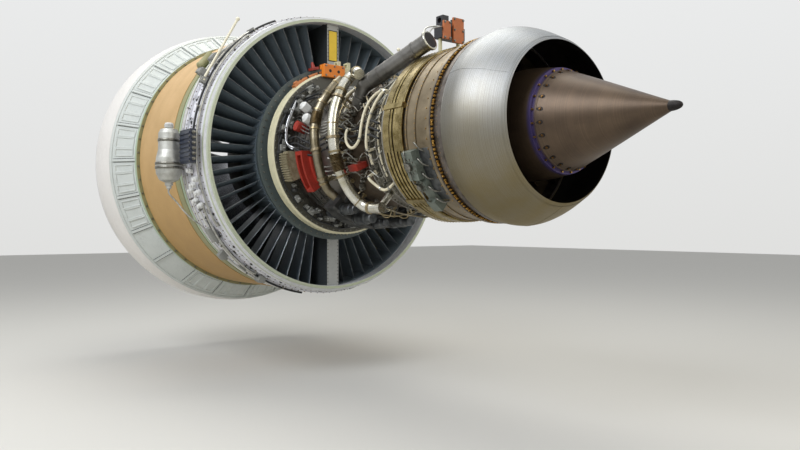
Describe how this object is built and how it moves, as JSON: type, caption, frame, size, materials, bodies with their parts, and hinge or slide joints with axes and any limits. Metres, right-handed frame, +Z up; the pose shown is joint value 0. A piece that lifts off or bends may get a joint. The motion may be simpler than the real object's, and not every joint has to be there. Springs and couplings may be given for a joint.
{
  "type": "turbofan jet engine",
  "caption": "High-bypass turbofan jet engine with inlet cowl, fan, guide vanes, core with pipes and gearbox, exhaust nozzle and long plug; both spools turn",
  "frame": {"origin": "on the engine's centreline at the rear rim of the fan case, where the thrust reverser's sleeve seats", "axes": "+X aft along the centreline, +Z up, -Y to the engine's left looking forward"},
  "size_m": [7.297, 3.6237, 3.5993],
  "materials": {
    "cowl_paint": "white satin paint on sheet",
    "lip_metal": "spun aluminium, dull",
    "duct_wall": "perforated acoustic lining, grey",
    "bulkhead_paint": "pale grey-green primer on pressed sheet",
    "primer_green": "pale green primer",
    "case_olive": "olive-green coating on forged ring",
    "wrap_weave": "ochre fibre wrap under resin",
    "exit_paint": "pale lilac-white paint",
    "vane_slate": "dark slate erosion coating",
    "hub_paint": "grey-green paint on casting",
    "strut_grey": "light grey paint",
    "tank_metal": "brushed stainless sheet",
    "control_blue": "dark navy enamel",
    "tube_steel": "drawn stainless tube",
    "bracket_grey": "grey painted sheet",
    "ring_cream": "cream enamel",
    "band_brown": "orange-brown paint",
    "cover_red": "red enamel",
    "mount_pale": "pale cream primer",
    "titanium": "turned titanium alloy",
    "hot_steel": "heat-tinted nickel alloy",
    "liner_steel": "drilled nickel sheet, oxidised",
    "manifold_steel": "straw-tinted tube",
    "flange_pale": "machined pale alloy",
    "case_brown": "brown heat-resistant coating",
    "nut_gold": "gold-tinted locking nuts",
    "frame_steel": "cast nickel alloy",
    "nozzle_metal": "brushed nickel sheet, faint heat tint",
    "plug_metal": "heat-browned titanium sheet",
    "mount_black": "black paint",
    "cover_orange": "orange paint",
    "duct_grey": "dark grey duct sheet",
    "pipe_silver": "bright titanium tube",
    "pipe_bronze": "bronze-grey heat-tinted tube",
    "clamp_bronze": "bronze-tinted band clamp",
    "valve_white": "white painted valve body",
    "cooler_tan": "tan ribbed sheet",
    "gold_tube": "gold-tinted perforated tube",
    "cream_tube": "cream sleeved tube",
    "gearbox_metal": "dark magnesium casting",
    "unit_metal": "dark anodised housings",
    "valve_green": "grey-green coating",
    "bearing_steel": "ground bearing steel",
    "spinner_paint": "black erosion paint",
    "blade_titanium": "polished titanium blades",
    "rotor_steel": "turned rotor alloy",
    "ring_steel": "machined steel ring",
    "rod_ivory": "ivory paint"
  },
  "bodies": {
    "root": {"inlet_lip": "lip_metal", "inlet_outer_skin": "cowl_paint", "inlet_inner_barrel": "duct_wall", "inlet_front_bulkhead": "primer_green", "inlet_aft_bulkhead": "bulkhead_paint", "inlet_attach_ring": "primer_green", "fan_case": "case_olive", "fan_case_wrap": "wrap_weave", "fan_exit_case": "exit_paint", "outlet_guide_vanes": "vane_slate", "fan_hub_frame": "hub_paint", "core_splitter": "titanium", "top_strut": "strut_grey", "bottom_strut": "strut_grey", "oil_tank": "tank_metal", "control_unit": "control_blue", "fan_case_tubes": "tube_steel", "fan_case_brackets": "bracket_grey", "core_front_ring": "ring_cream", "handling_band": "band_brown", "forward_mount": "mount_pale", "compressor_case": "titanium", "combustor_case": "hot_steel", "combustor_liner": "liner_steel", "fuel_manifold": "manifold_steel", "turbine_case_front": "flange_pale", "turbine_case": "case_brown", "flange_bolts": "nut_gold", "exhaust_frame": "frame_steel", "exhaust_nozzle": "nozzle_metal", "plug_front": "plug_metal", "plug_cone": "plug_metal", "aft_mount": "mount_black", "mount_covers": "cover_orange", "bleed_duct": "duct_grey", "bleed_cross_pipe": "pipe_silver", "bleed_lower_pipe": "pipe_bronze", "pipe_clamps": "clamp_bronze", "bleed_valves": "valve_white", "port_covers": "cover_red", "oil_cooler": "cooler_tan", "cooling_tubes": "gold_tube", "core_tubes": "cream_tube", "gearbox": "gearbox_metal", "accessories": "unit_metal", "drive_shaft_housing": "gearbox_metal", "cooling_air_valve": "valve_green", "bearings": "bearing_steel", "vane_actuator": "unit_metal"},
    "lp_rotor": {"spinner": "spinner_paint", "fan_blades": "blade_titanium", "fan_disk": "rotor_steel", "lp_shaft": "rotor_steel", "lp_turbine_rotor": "hot_steel"},
    "core_rotor": {"compressor_rotor": "rotor_steel", "core_turbine_rotor": "hot_steel"},
    "vane_ring": {"unison_ring": "ring_steel"},
    "vane_rod": {"vane_actuator_rod": "ring_steel"},
    "left_rod": {"hold_open_rod_left": "rod_ivory"},
    "right_rod": {"hold_open_rod_right": "rod_ivory"}
  },
  "joints": [
    {"name": "lp_spool", "type": "hinge", "parent": "root", "child": "lp_rotor", "pos_m": [0, 0, 0], "axis": [1, 0, 0], "continuous": true},
    {"name": "core_spool", "type": "hinge", "parent": "root", "child": "core_rotor", "pos_m": [0, 0, 0], "axis": [1, 0, 0], "continuous": true},
    {"name": "vane_ring_turn", "type": "hinge", "parent": "root", "child": "vane_ring", "pos_m": [0.279, 0, 0], "axis": [1, 0, 0], "range_deg": [-3, 3]},
    {"name": "vane_rod_slide", "type": "slide", "parent": "root", "child": "vane_rod", "axis": [0, -0.5, 0.866], "range_m": [-0.039, 0.039]},
    {"name": "left_rod_swing", "type": "hinge", "parent": "root", "child": "left_rod", "pos_m": [-0.215, -1.43692, 0.68537], "axis": [1, 0, 0], "range_deg": [0, 70]},
    {"name": "right_rod_swing", "type": "hinge", "parent": "root", "child": "right_rod", "pos_m": [-0.215, 1.43692, 0.68537], "axis": [1, 0, 0], "range_deg": [-70, 0]}
  ],
  "couplings": [
    {"joint": "vane_rod_slide", "follows": "vane_ring_turn", "m_per_rad": 0.733}
  ]
}
